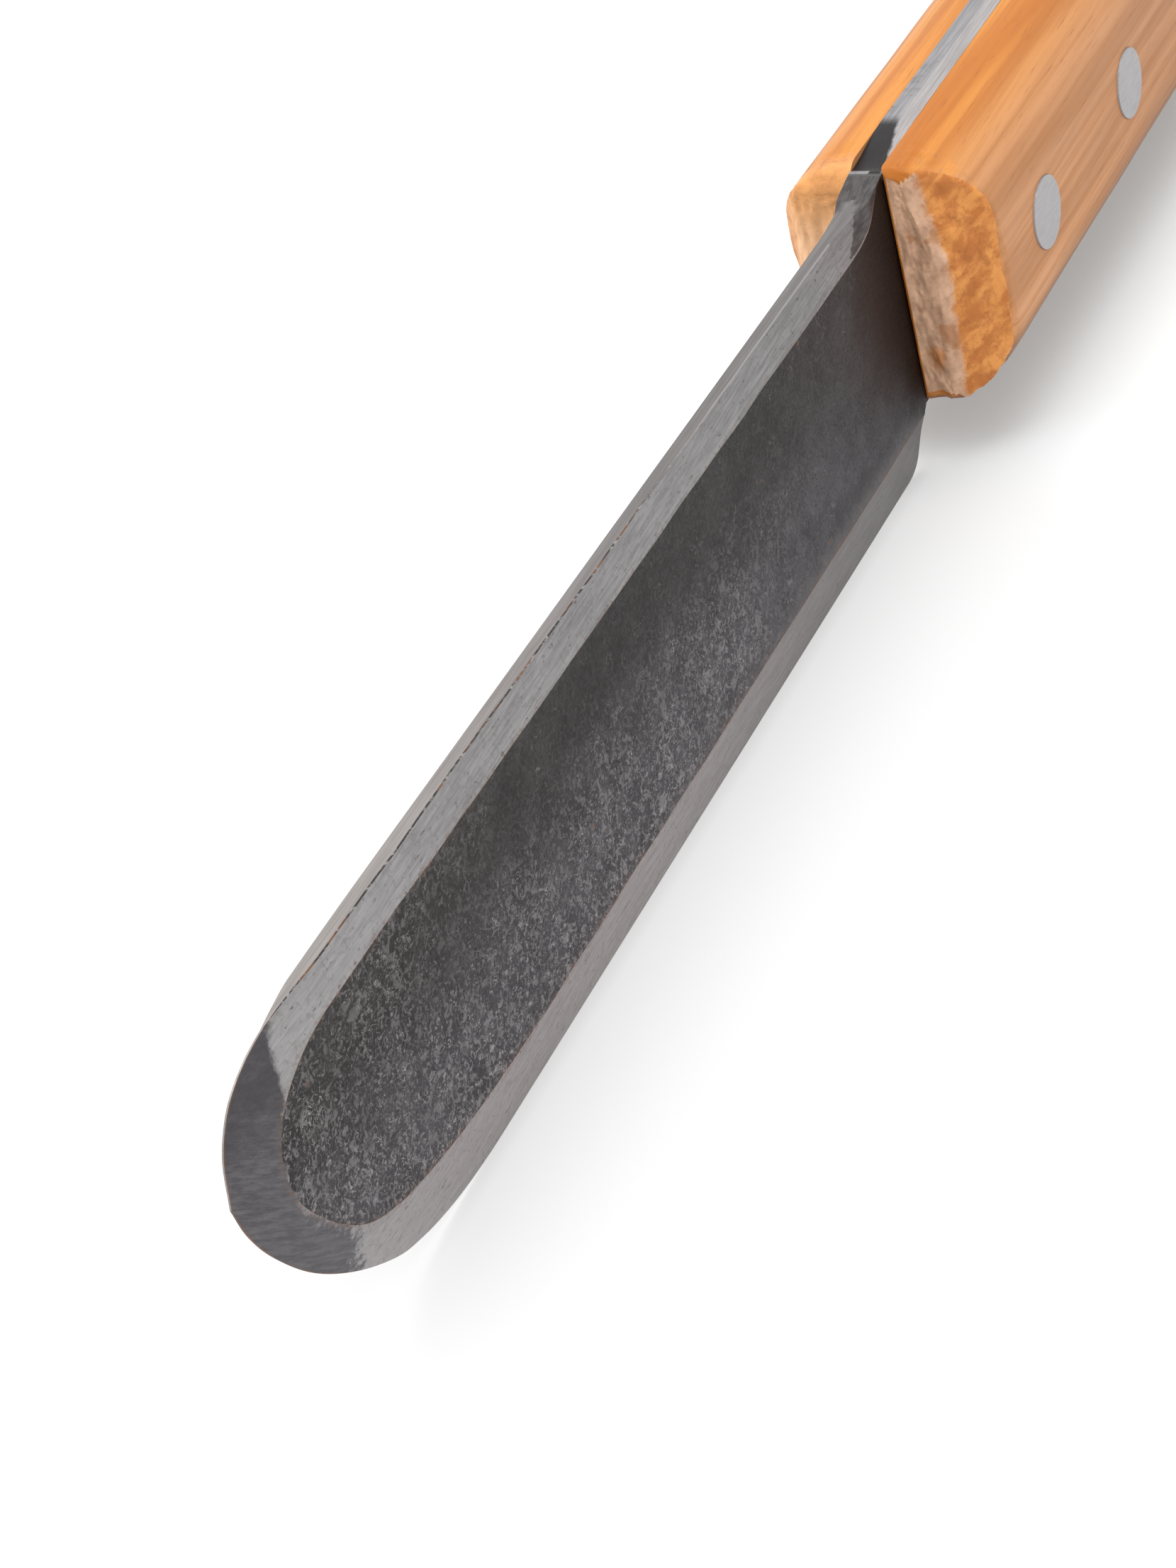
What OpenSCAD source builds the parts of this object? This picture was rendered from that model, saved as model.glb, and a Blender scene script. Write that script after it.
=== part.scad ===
// Full-tang carving knife: a round-nosed bevelled blade, two wooden scales and three flush pins.
// +X runs towards the butt and the nose points to -X. The spine is up (+Z), the sides face -Y and +Y.
// The origin is the centre of the overall box in X and Y, at the height of the cutting edge.

/* [Blade] */
// Length of the blade in front of the handle
blade_length = 106; // [80:1:130]
// Height of the blade from the cutting edge to the spine
blade_height = 25.3; // [22:0.1:28]
// Thickness of the steel, the same in blade and tang
steel_thickness = 2.8; // [2:0.1:3]
// Thickness left at the cutting edge
edge_thickness = 0.2; // [0.1:0.05:0.4]
// Height of the ground bevel along the cutting edge and round the nose
edge_bevel = 5; // [3:0.1:6]
// Height of the ground bevel along the spine
spine_bevel = 2.2; // [1:0.1:3]
// Width of the flat left on top of the spine between its two bevels
spine_flat = 1.2; // [0.6:0.1:1.6]
// Radius of the long curve from the cutting edge up round the nose
sweep_radius = 25.3; // [20:0.1:40]
// Radius of the corner between the nose and the spine
nose_radius = 7; // [4:0.5:8]
// Length of the full-thickness spine between its bevel and the handle
ricasso_length = 3; // [1:0.5:4]
// Distance from the handle to the heel, where the steel drops to the cutting edge
heel_length = 1.3; // [0.5:0.1:3]
// Rounding of the heel's corner on the cutting edge
heel_radius = 1.2; // [0.4:0.1:2]

/* [Handle] */
// Length of the handle
handle_length = 110; // [104:1:130]
// Height of the handle
handle_height = 21.2; // [19:0.1:24]
// Thickness of the handle across both scales
handle_width = 18; // [17:0.5:24]
// Height of the handle's top above the spine
spine_step = 1.5; // [0.5:0.1:3]
// Length of the slope on the steel from the end of the spine's bevel up to the handle's top
step_run = 8; // [5:0.5:10]
// Rounding along the handle's upper edges
top_edge_radius = 7.5; // [4:0.5:7.5]
// Rounding along the handle's lower edges
bottom_edge_radius = 6; // [3:0.5:7]
// Chamfer on each scale's outer front corner
front_chamfer = 3.6; // [1:0.2:5]
// Rounding of the scales' upper and lower front edges
front_edge_radius = 1.2; // [0.4:0.1:2]
// Rounding of the butt seen from the side
butt_radius = 7; // [3:0.5:9]
// Rounding of the butt seen from above
butt_side_radius = 5; // [2:0.5:7]

/* [Pins] */
// Diameter of the handle pins
pin_diameter = 6; // [3:0.5:6]
// Distance of the first pin from the handle's front
first_pin = 13; // [10:0.5:18]
// Distance between the first pin and the second pin
pin_spacing = 22; // [15:0.5:30]
// Distance of the last pin from the butt
last_pin_from_butt = 16; // [12:0.5:24]
// Distance of the pins below the middle of the handle's height
pin_drop = 0.5; // [0:0.1:1]

/* [Hidden] */
$fn = 96;

steel_colour = [0.33, 0.33, 0.35];
wood_colour = [0.84, 0.58, 0.34];
pin_colour = [0.74, 0.75, 0.77];

// How far a cutting shape reaches past the surface that it cuts
overshoot = 1;
handle_top = blade_height + spine_step;
handle_bottom = handle_top - handle_height;
pin_height = (handle_top + handle_bottom) / 2 - pin_drop;
// Moves the knife so that its overall length is centred on the origin
centring = (blade_length - handle_length) / 2;
// The spine's flat stops short of the handle and of the nose, at these shares of the blade's length
flat_start_share = 0.28;
flat_end_share = 0.9;
flat_start = blade_length * flat_start_share;
flat_end = blade_length * flat_end_share;
// Radius of the flat side's corner at the nose, as a share of the nose radius
face_corner_share = 0.7;

// Points of an arc about a centre, from one angle to another in equal steps
function arc(centre, radius, from, to, steps) = [
    for (i = [0 : steps])
        let (a = from + (to - from) * i / steps)
        [centre.x + radius * cos(a), centre.y + radius * sin(a)]
];

// Distance along X between the centres of the sweep and of the nose corner, when both arcs touch
function centre_gap(top, sweep, corner) =
    sqrt(pow(sweep - corner, 2) - pow(sweep_radius - top + corner, 2));

sweep_x = -blade_length + nose_radius + centre_gap(blade_height, sweep_radius, nose_radius);

// Outline of the nose between a low line and a top line: the sweep arc, then the corner arc
function nose(low, top, corner) =
    let (sweep = sweep_radius - low)
    let (gap = centre_gap(top, sweep, corner))
    let (meet = 180 + atan2(sweep_radius - top + corner, gap))
    concat(
        arc([sweep_x, sweep_radius], sweep, 270, meet, 16),
        arc([sweep_x - gap, top - corner], corner, meet, 90, 10)
    );

// Outline of the blade in the X and Z directions, out to its edges
edge_outline = concat(
    [[-ricasso_length, blade_height], [-heel_length, edge_bevel]],
    arc([-heel_length - heel_radius, heel_radius], heel_radius, 0, -90, 8),
    nose(0, blade_height, nose_radius)
);

// Outline of the flat side inside the bevels
face_outline = concat(
    [
        [-ricasso_length, blade_height - spine_bevel],
        [-heel_length, edge_bevel]
    ],
    nose(edge_bevel, blade_height - spine_bevel, nose_radius * face_corner_share)
);

// A plate of the given thickness standing on the knife's middle plane, drawn in X and Z
module plate(thickness) {
    rotate([90, 0, 0]) linear_extrude(thickness, center = true) children();
}

// What a rounded corner removes; inward holds the signs that point into the shape
module corner_waste(corner, inward, radius) {
    translate(corner) difference() {
        translate([inward.x < 0 ? -radius : -overshoot, inward.y < 0 ? -radius : -overshoot])
            square(radius + overshoot);
        translate(inward * radius) circle(radius);
    }
}

module bevelled_blade() {
    hull() {
        plate(edge_thickness) polygon(edge_outline);
        plate(steel_thickness) polygon(face_outline);
        translate([-flat_end, -spine_flat / 2, blade_height - edge_thickness])
            cube([flat_end - flat_start, spine_flat, edge_thickness]);
    }
}

module tang_profile() {
    difference() {
        polygon([
            [-heel_length, edge_bevel],
            [0, handle_bottom],
            [handle_length, handle_bottom],
            [handle_length, handle_top],
            [step_run - ricasso_length, handle_top],
            [-ricasso_length, blade_height]
        ]);
        corner_waste([handle_length, handle_top], [-1, -1], butt_radius);
        corner_waste([handle_length, handle_bottom], [-1, 1], butt_radius);
    }
}

// The handle across its thickness and height
module handle_section() {
    half = handle_width / 2;
    difference() {
        translate([-half, handle_bottom]) square([handle_width, handle_height]);
        for (side = [-1, 1]) {
            corner_waste([side * half, handle_top], [-side, -1], top_edge_radius);
            corner_waste([side * half, handle_bottom], [-side, 1], bottom_edge_radius);
        }
    }
}

// The handle seen from the side
module handle_profile() {
    difference() {
        translate([0, handle_bottom]) square([handle_length, handle_height]);
        corner_waste([0, handle_top], [1, -1], front_edge_radius);
        corner_waste([0, handle_bottom], [1, 1], front_edge_radius);
        corner_waste([handle_length, handle_top], [-1, -1], butt_radius);
        corner_waste([handle_length, handle_bottom], [-1, 1], butt_radius);
    }
}

// The handle seen from above, with chamfered front corners and a rounded butt
module handle_plan() {
    half = handle_width / 2;
    difference() {
        polygon([
            [0, -half + front_chamfer],
            [front_chamfer, -half],
            [handle_length, -half],
            [handle_length, half],
            [front_chamfer, half],
            [0, half - front_chamfer]
        ]);
        for (side = [-1, 1])
            corner_waste([handle_length, side * half], [-1, -side], butt_side_radius);
    }
}

// Cylinders on the pins' axes at the given distances from the handle's front
module pins(places, length) {
    for (x = places)
        translate([x, 0, pin_height])
            rotate([90, 0, 0]) cylinder(h = length, d = pin_diameter, center = true);
}

pin_places = [first_pin, first_pin + pin_spacing, handle_length - last_pin_from_butt];

module blade() {
    color(steel_colour) translate([centring, 0, 0]) difference() {
        union() {
            bevelled_blade();
            plate(steel_thickness) tang_profile();
        }
        pins(pin_places, steel_thickness + 2 * overshoot);
    }
}

// side is -1 for the scale that faces -Y and 1 for the one that faces +Y
module scale_half(side) {
    depth = (handle_width - steel_thickness) / 2;
    color(wood_colour) translate([centring, 0, 0]) difference() {
        intersection() {
            rotate([90, 0, 90]) linear_extrude(handle_length) handle_section();
            plate(handle_width) handle_profile();
            translate([0, 0, handle_bottom]) linear_extrude(handle_height) handle_plan();
            translate([0, side < 0 ? -handle_width / 2 : steel_thickness / 2, handle_bottom])
                cube([handle_length, depth, handle_height]);
        }
        pins(pin_places, handle_width + 2 * overshoot);
    }
}

module left_scale() {
    scale_half(-1);
}

module right_scale() {
    scale_half(1);
}

module handle_pin(place) {
    color(pin_colour) translate([centring, 0, 0]) pins([place], handle_width);
}

blade();
left_scale();
right_scale();
handle_pin(pin_places[0]);  // front_pin
handle_pin(pin_places[1]);  // middle_pin
handle_pin(pin_places[2]);  // rear_pin
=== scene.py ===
import math

import bmesh
import bpy
import numpy as np
from mathutils import Matrix, Vector, noise


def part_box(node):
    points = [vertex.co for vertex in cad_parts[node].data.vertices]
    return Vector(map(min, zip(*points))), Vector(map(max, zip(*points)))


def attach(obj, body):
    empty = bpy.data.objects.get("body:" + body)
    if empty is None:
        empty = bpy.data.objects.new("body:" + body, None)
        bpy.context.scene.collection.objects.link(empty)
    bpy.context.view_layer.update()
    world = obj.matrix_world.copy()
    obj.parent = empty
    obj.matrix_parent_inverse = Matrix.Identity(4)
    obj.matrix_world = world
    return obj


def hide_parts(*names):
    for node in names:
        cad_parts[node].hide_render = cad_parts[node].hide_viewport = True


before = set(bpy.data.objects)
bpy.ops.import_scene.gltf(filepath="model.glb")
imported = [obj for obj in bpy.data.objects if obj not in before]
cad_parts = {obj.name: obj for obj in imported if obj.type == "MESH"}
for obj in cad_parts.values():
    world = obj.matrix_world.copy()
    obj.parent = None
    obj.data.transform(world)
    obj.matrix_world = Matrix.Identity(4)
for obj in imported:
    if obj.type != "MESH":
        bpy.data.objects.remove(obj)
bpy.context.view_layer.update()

# ---------------------------------------------------------------------------------------------
# Sizes in millimetres. X is counted from the handle's front towards the butt, so the blade is at
# negative X. Y is across the knife, Z up from the cutting edge.
# ---------------------------------------------------------------------------------------------
MM = 0.001
left_low, left_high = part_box("left_scale")
blade_low, blade_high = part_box("blade")
FRONT_X = left_low.x
BLADE_L = (FRONT_X - blade_low.x) / MM
HANDLE_L = (left_high.x - FRONT_X) / MM
HANDLE_TOP = blade_high.z / MM
HANDLE_BOTTOM = left_low.z / MM
HALF_W = -left_low.y / MM
HALF_T = blade_high.y / MM

SPINE_STEP = 1.5          # the handle's top stands this far above the spine
SPINE = HANDLE_TOP - SPINE_STEP
EDGE_HALF = 0.06          # half of the thickness left at the cutting edge
DISH = 0.22               # depth of the shallow hollow hammered into each side
FORGE_WAVE = 0.035        # height of the hammer's waves on the sides
MERGE_GAP = 0.002         # points closer than this become one
MIDDLE_Z = 16             # a scale's upper and lower halves are shaped apart from this height


def ease(x, low, high):
    """0 below low, 1 above high, smooth in between."""
    t = min(1.0, max(0.0, (x - low) / (high - low)))
    return t * t * (3 - 2 * t)


def wobble(x, period, seed):
    """Smooth repeatable waviness between about -1 and 1 along x."""
    return noise.noise(Vector((x / period, seed * 7.31, 0.5))) * 1.6


def to_metres(points):
    return [(FRONT_X + x * MM, y * MM, z * MM) for x, y, z in points]


def new_object(name, points, faces, materials, face_materials=None, marks=None):
    """A mesh object from points in millimetres; close points merge and marks stay per point."""
    mesh = bpy.data.meshes.new(name)
    mesh.from_pydata(to_metres(points), [], faces)
    for material in materials:
        mesh.materials.append(material)
    if face_materials is not None:
        mesh.polygons.foreach_set("material_index", face_materials)
    for mark, values in (marks or {}).items():
        mesh.attributes.new(mark, "FLOAT", "POINT").data.foreach_set("value", values)
    work = bmesh.new()
    work.from_mesh(mesh)
    bmesh.ops.remove_doubles(work, verts=work.verts, dist=MERGE_GAP * MM)
    bmesh.ops.dissolve_degenerate(work, edges=work.edges, dist=MERGE_GAP * MM)
    bmesh.ops.recalc_face_normals(work, faces=work.faces)
    work.to_mesh(mesh)
    work.free()
    mesh.shade_smooth()
    piece = bpy.data.objects.new(name, mesh)
    bpy.context.scene.collection.objects.link(piece)
    return piece


# ---------------------------------------------------------------------------------------------
# Shader helpers
# ---------------------------------------------------------------------------------------------
class Shader:
    """A material with one Principled surface and short calls for the nodes in front of it."""

    def __init__(self, name):
        self.material = bpy.data.materials.new(name)
        self.material.use_nodes = True
        self.tree = self.material.node_tree
        self.surface = self.tree.nodes["Principled BSDF"]
        coordinates = self.tree.nodes.new("ShaderNodeTexCoord")
        self.place = coordinates.outputs["Object"]
        self.facing = coordinates.outputs["Normal"]

    def put(self, socket, value):
        """Links an output to the socket, or sets a plain value on it."""
        if isinstance(value, bpy.types.NodeSocket):
            self.tree.links.new(value, socket)
        elif isinstance(value, (tuple, list)) and len(value) == 3 and socket.type == "RGBA":
            socket.default_value = (*value, 1)
        else:
            socket.default_value = value

    def set(self, **values):
        """Puts values on the surface's inputs, such as base_color on Base Color."""
        for name, value in values.items():
            self.put(self.surface.inputs[name.replace("_", " ").title()], value)

    def stretch(self, scale, turn=(0, 0, 0), offset=(0, 0, 0)):
        """Object coordinates turned, then scaled, with 1 unit a millimetre before the scale."""
        scale = (scale,) * 3 if isinstance(scale, (int, float)) else scale
        turned = self.tree.nodes.new("ShaderNodeMapping")
        turned.inputs["Rotation"].default_value = turn
        self.put(turned.inputs["Vector"], self.place)
        scaled = self.tree.nodes.new("ShaderNodeMapping")
        scaled.inputs["Scale"].default_value = [s / MM for s in scale]
        scaled.inputs["Location"].default_value = offset
        self.put(scaled.inputs["Vector"], turned.outputs["Vector"])
        return scaled.outputs["Vector"]

    def noise(self, vector, detail=4, roughness=0.55, distortion=0.0):
        node = self.tree.nodes.new("ShaderNodeTexNoise")
        self.put(node.inputs["Vector"], vector)
        node.inputs["Scale"].default_value = 1.0
        node.inputs["Detail"].default_value = detail
        node.inputs["Roughness"].default_value = roughness
        node.inputs["Distortion"].default_value = distortion
        return node.outputs["Fac"]

    def cells(self, vector):
        """Distance to the nearest of many scattered points."""
        node = self.tree.nodes.new("ShaderNodeTexVoronoi")
        self.put(node.inputs["Vector"], vector)
        node.inputs["Scale"].default_value = 1.0
        return node.outputs["Distance"]

    def bend(self, vector, amount, scale):
        """The vector pushed about by a noise, for lines that wander."""
        node = self.tree.nodes.new("ShaderNodeTexNoise")
        self.put(node.inputs["Vector"], vector)
        node.inputs["Scale"].default_value = scale
        node.inputs["Detail"].default_value = 2
        pushed = self.tree.nodes.new("ShaderNodeVectorMath")
        pushed.operation = "MULTIPLY_ADD"
        self.put(pushed.inputs[0], node.outputs["Color"])
        pushed.inputs[1].default_value = (amount,) * 3
        self.put(pushed.inputs[2], vector)
        return pushed.outputs["Vector"]

    def span(self, value, low, high, out_low=0.0, out_high=1.0, smooth=True):
        """The value's range from low to high stretched over out_low to out_high, held outside."""
        node = self.tree.nodes.new("ShaderNodeMapRange")
        node.interpolation_type = "SMOOTHSTEP" if smooth else "LINEAR"
        for socket, number in zip(node.inputs, (value, low, high, out_low, out_high)):
            self.put(socket, number)
        return node.outputs["Result"]

    def math(self, operation, a, b=0.0):
        node = self.tree.nodes.new("ShaderNodeMath")
        node.operation = operation
        self.put(node.inputs[0], a)
        self.put(node.inputs[1], b)
        return node.outputs["Value"]

    def mix(self, share, a, b):
        node = self.tree.nodes.new("ShaderNodeMix")
        node.data_type = "RGBA"
        self.put(node.inputs["Factor"], share)
        self.put(node.inputs["A"], a)
        self.put(node.inputs["B"], b)
        return node.outputs["Result"]

    def split(self, vector):
        node = self.tree.nodes.new("ShaderNodeSeparateXYZ")
        self.put(node.inputs["Vector"], vector)
        return node.outputs

    def attribute(self, name):
        node = self.tree.nodes.new("ShaderNodeAttribute")
        node.attribute_name = name
        return node.outputs["Fac"]

    def bump(self, height, distance, strength=1.0, under=None):
        """Height in 0 to 1 raised over distance millimetres."""
        node = self.tree.nodes.new("ShaderNodeBump")
        node.inputs["Strength"].default_value = strength
        node.inputs["Distance"].default_value = distance * MM
        self.put(node.inputs["Height"], height)
        if under is not None:
            self.put(node.inputs["Normal"], under)
        return node.outputs["Normal"]


def along(shader, axis, low, high, out_low=0.0, out_high=1.0):
    """out_low to out_high as the place along X (0) or Z (2) goes from low to high millimetres."""
    shift = FRONT_X if axis == 0 else 0.0
    place = shader.split(shader.place)[axis]
    return shader.span(place, shift + low * MM, shift + high * MM, out_low, out_high)


def raw_steel(s):
    """Dark streaked steel that the belt hasn't reached."""
    streak = s.noise(s.stretch((0.5, 2.6, 2.6), offset=(4, 4, 0)), detail=4, roughness=0.6)
    return s.mix(s.span(streak, 0.35, 0.65), (0.06, 0.055, 0.056), (0.112, 0.101, 0.1))


# ---------------------------------------------------------------------------------------------
# Materials
# ---------------------------------------------------------------------------------------------
def forge_scale():
    """The dark skin that forging leaves, flecked and pitted towards the edge and the nose."""
    s = Shader("forge_scale")
    low = along(s, 2, 20, 9)
    cloud = s.noise(s.stretch(0.14), detail=3, roughness=0.6)
    zone = s.math("MULTIPLY", along(s, 0, -16, -46), low)
    zone = s.math("MAXIMUM", zone, s.math("MULTIPLY", along(s, 0, -66, -98), 0.78))
    zone = s.math("MULTIPLY", zone, s.span(cloud, 0.3, 0.6, 0.5, 1.0))
    zone = s.math("ADD", zone, 0.08)
    fine = s.noise(s.stretch(3.4), detail=5, roughness=0.66, distortion=0.9)
    coarse = s.noise(s.stretch(0.9, offset=(3, 1, 6)), detail=4, roughness=0.6, distortion=0.8)
    flake = s.noise(s.stretch(1.35, offset=(8, 2, 2)), detail=5, roughness=0.66, distortion=0.9)
    fleck = s.math("MULTIPLY", s.span(fine, 0.5, 0.63), s.span(coarse, 0.38, 0.6, 0.2, 1.0))
    fleck = s.math("MULTIPLY", fleck, along(s, 0, -30, -80, 0.75, 1.0))
    fleck = s.math("MAXIMUM", fleck, s.span(flake, 0.52, 0.6, 0.0, 0.5))
    fleck = s.math("MULTIPLY", fleck, zone)
    curl = s.noise(s.stretch(0.75, offset=(2, 7, 1)), detail=2, roughness=0.5, distortion=1.6)
    curl = s.span(s.math("ABSOLUTE", s.math("SUBTRACT", curl, 0.5)), 0.002, 0.014, 1.0, 0.0)
    curl_gate = s.span(s.noise(s.stretch(0.5, offset=(5, 3, 1)), detail=3), 0.55, 0.68)
    curl = s.math("MULTIPLY", s.math("MULTIPLY", curl, curl_gate), s.span(zone, 0.1, 0.6, 0.3, 0.9))
    pit = s.span(s.noise(s.stretch(4.6, offset=(9, 1, 4)), detail=3), 0.56, 0.7)
    tone = s.noise(s.stretch(0.3, offset=(2, 8, 3)), detail=5, roughness=0.6)
    olive = s.mix(s.span(tone, 0.35, 0.68), (0.021, 0.0182, 0.0175), (0.035, 0.031, 0.03))
    slate = s.mix(s.span(tone, 0.35, 0.68), (0.046, 0.0415, 0.0455), (0.075, 0.069, 0.075))
    base = s.mix(s.math("MAXIMUM", low, along(s, 0, -20, -2)), olive, slate)
    base = s.mix(fleck, base, (0.31, 0.287, 0.293))
    base = s.mix(curl, base, (0.4, 0.37, 0.365))
    base = s.mix(s.math("MULTIPLY", pit, 0.7), base, (0.014, 0.0125, 0.0135))
    shine = s.math("MULTIPLY", s.attribute("polish"), s.span(coarse, 0.3, 0.6, 0.6, 1.0))
    base = s.mix(shine, base, (0.125, 0.118, 0.121))
    rust_spot = s.span(s.cells(s.stretch(0.2, offset=(1, 4, 2))), 0.025, 0.055, 0.7, 0.0)
    rust_rim = s.math("MULTIPLY", s.attribute("rim"), s.span(coarse, 0.42, 0.62, 0.0, 0.6))
    rust_rim = s.math("MULTIPLY", rust_rim, s.math("MAXIMUM", low, along(s, 0, -60, -80)))
    base = s.mix(s.math("MAXIMUM", rust_spot, rust_rim), base, (0.15, 0.078, 0.045))
    # Painted shade, a painted reflection of the wood and some oil stain: the face darker and
    # browner next to the handle, more towards the top.
    brown = s.math("MULTIPLY", along(s, 0, -14, -3.5), along(s, 2, 5, 15))
    base = s.mix(brown, base, (0.021, 0.0105, 0.0075))
    # Painted contact shadow, partly oil stain: nearly black right where the steel meets the scales.
    contact_shade_and_stain = s.math("MULTIPLY", along(s, 0, -5.5, -1), along(s, 2, 4, 9))
    base = s.mix(contact_shade_and_stain, base, (0.009, 0.0035, 0.002))
    s.surface.inputs["Specular IOR Level"].default_value = 0.25
    grain = s.bump(fine, 0.04, 0.6)
    s.set(
        base_color=base, metallic=0.5, roughness=s.span(fine, 0.3, 0.7, 0.64, 0.48),
        normal=s.bump(pit, -0.03, 0.6, grain),
    )
    return s.material


def ground_bevel():
    """Belt-ground bevels: streaked, raw at the handle, cross-ground at the nose, with painted light
    and shade along them and a painted dark reflection on the nose.
    """
    s = Shader("ground_bevel")
    lines = s.noise(s.stretch((0.3, 5, 5.5), turn=(0, math.radians(2), 0)), detail=5, roughness=0.7)
    broad = s.noise(s.stretch((0.14, 0.5, 0.5), offset=(3, 3, 3)), detail=3)
    speckle = s.noise(s.stretch(2.2, offset=(1, 6, 2)), detail=4, roughness=0.65)
    base = s.mix(s.span(lines, 0.3, 0.7), (0.2, 0.19, 0.19), (0.3, 0.288, 0.288))
    base = s.mix(s.span(broad, 0.4, 0.75, 0.0, 0.3), base, (0.16, 0.15, 0.15))
    # Painted light: the lower bevel, along the cutting edge, is painted lighter than the spine's
    # bevel, which shares this material.
    low = s.mix(s.span(lines, 0.25, 0.75), (0.26, 0.232, 0.234), (0.335, 0.301, 0.303))
    base = s.mix(along(s, 2, 9, 5), base, low)
    # Painted shade: darker towards the handle, much more on the lower bevel than on the spine's.
    shade = s.math("MULTIPLY", along(s, 0, -60, -8), along(s, 2, 9, 5, 0.2, 0.72))
    base = s.mix(shade, base, (0.11, 0.101, 0.102))
    # Painted light: both bevels lighter towards the nose.
    base = s.mix(s.math("MULTIPLY", along(s, 0, -70, -98), 0.3), base, (0.42, 0.405, 0.41))
    base = s.mix(s.span(speckle, 0.52, 0.66, 0.0, 0.35), base, (0.15, 0.138, 0.138))
    pit = s.span(s.noise(s.stretch((1.5, 3.2, 3.2), offset=(7, 2, 5)), detail=3), 0.63, 0.72)
    base = s.mix(s.math("MULTIPLY", pit, 0.6), base, (0.07, 0.064, 0.064))
    uneven = s.span(speckle, 0.3, 0.7, -0.25, 0.25, smooth=False)
    raw = s.span(s.math("ADD", s.attribute("raw"), uneven), 0.35, 0.65)
    base = s.mix(raw, base, raw_steel(s))
    # The nose has cross-grinding lines, and over them a painted dark reflection darkens the bevels,
    # most near the top.
    across = s.stretch((0.3, 2.0, 3.4), turn=(0, math.radians(-38), 0), offset=(6, 1, 2))
    cross = s.noise(across, detail=5, roughness=0.7)
    dark = s.mix(s.span(cross, 0.32, 0.68), (0.062, 0.06, 0.068), (0.128, 0.12, 0.127))
    ragged = s.noise(s.stretch(0.7, offset=(1, 1, 1)), detail=5, roughness=0.65)
    blotch = s.math("MULTIPLY", along(s, 2, 19, 22.5), s.span(ragged, 0.3, 0.55, 0.45, 1.0))
    dark = s.mix(s.math("MULTIPLY", blotch, 0.8), dark, (0.042, 0.039, 0.042))
    edge = s.math("ADD", s.attribute("nose"), s.span(ragged, 0.3, 0.7, -0.07, 0.07, smooth=False))
    soft = s.span(edge, 0.46, 0.56)
    uneven = s.span(speckle, 0.3, 0.7, -0.14, 0.14, smooth=False)
    grainy = s.span(s.math("ADD", edge, uneven), 0.4, 0.6)
    low_grain = s.math("MULTIPLY", along(s, 2, 15, 10), s.math("SUBTRACT", grainy, soft))
    tint = s.math("ADD", soft, low_grain)
    base = s.mix(s.math("MULTIPLY", tint, 0.92), base, dark)
    rust = s.math("MULTIPLY", s.attribute("rim"), s.span(speckle, 0.45, 0.62, 0.05, 0.5))
    fringe = s.span(s.attribute("fringe"), 0.35, 0.9)
    fringe = s.math("MULTIPLY", fringe, s.span(ragged, 0.35, 0.6, 0.1, 0.7))
    base = s.mix(s.math("MAXIMUM", rust, fringe), base, (0.2, 0.1, 0.055))
    fine = s.bump(lines, 0.012, 0.5)
    s.set(
        base_color=base, metallic=0.85, roughness=s.span(lines, 0.3, 0.7, 0.5, 0.36),
        normal=s.bump(pit, -0.02, 0.6, fine),
    )
    return s.material


def ground_spine():
    """The flat along the top of the spine, lighter and warmer towards the nose."""
    s = Shader("ground_spine")
    lines = s.noise(s.stretch((0.12, 4, 4)), detail=5, roughness=0.7)
    light = s.mix(s.span(lines, 0.3, 0.7), (0.26, 0.24, 0.228), (0.36, 0.334, 0.32))
    plain = s.mix(s.span(lines, 0.3, 0.7), (0.16, 0.149, 0.148), (0.22, 0.205, 0.204))
    base = s.mix(along(s, 0, -30, -95), plain, light)
    base = s.mix(s.attribute("raw"), base, raw_steel(s))
    s.set(
        base_color=base, metallic=0.85, roughness=s.span(lines, 0.3, 0.7, 0.5, 0.36),
        normal=s.bump(lines, 0.012, 0.5),
    )
    return s.material


def scale_line():
    """The pitted dark line of forge scale left between the spine's flat and its bevel."""
    s = Shader("scale_line")
    broken = s.noise(s.stretch((1.9, 3.0, 3.0)), detail=4, roughness=0.65)
    present = s.math("MULTIPLY", along(s, 0, -30, -52), s.span(broken, 0.36, 0.5))
    base = s.mix(present, (0.27, 0.255, 0.253), (0.03, 0.025, 0.023))
    spots = s.noise(s.stretch((0.35, 1, 1), offset=(4, 4, 4)), detail=3)
    rust = s.span(spots, 0.5, 0.62, 0.0, 0.75)
    base = s.mix(s.math("MULTIPLY", rust, present), base, (0.2, 0.09, 0.04))
    s.set(base_color=base, metallic=0.6, roughness=0.55, normal=s.bump(broken, 0.08, 0.8))
    return s.material


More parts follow.
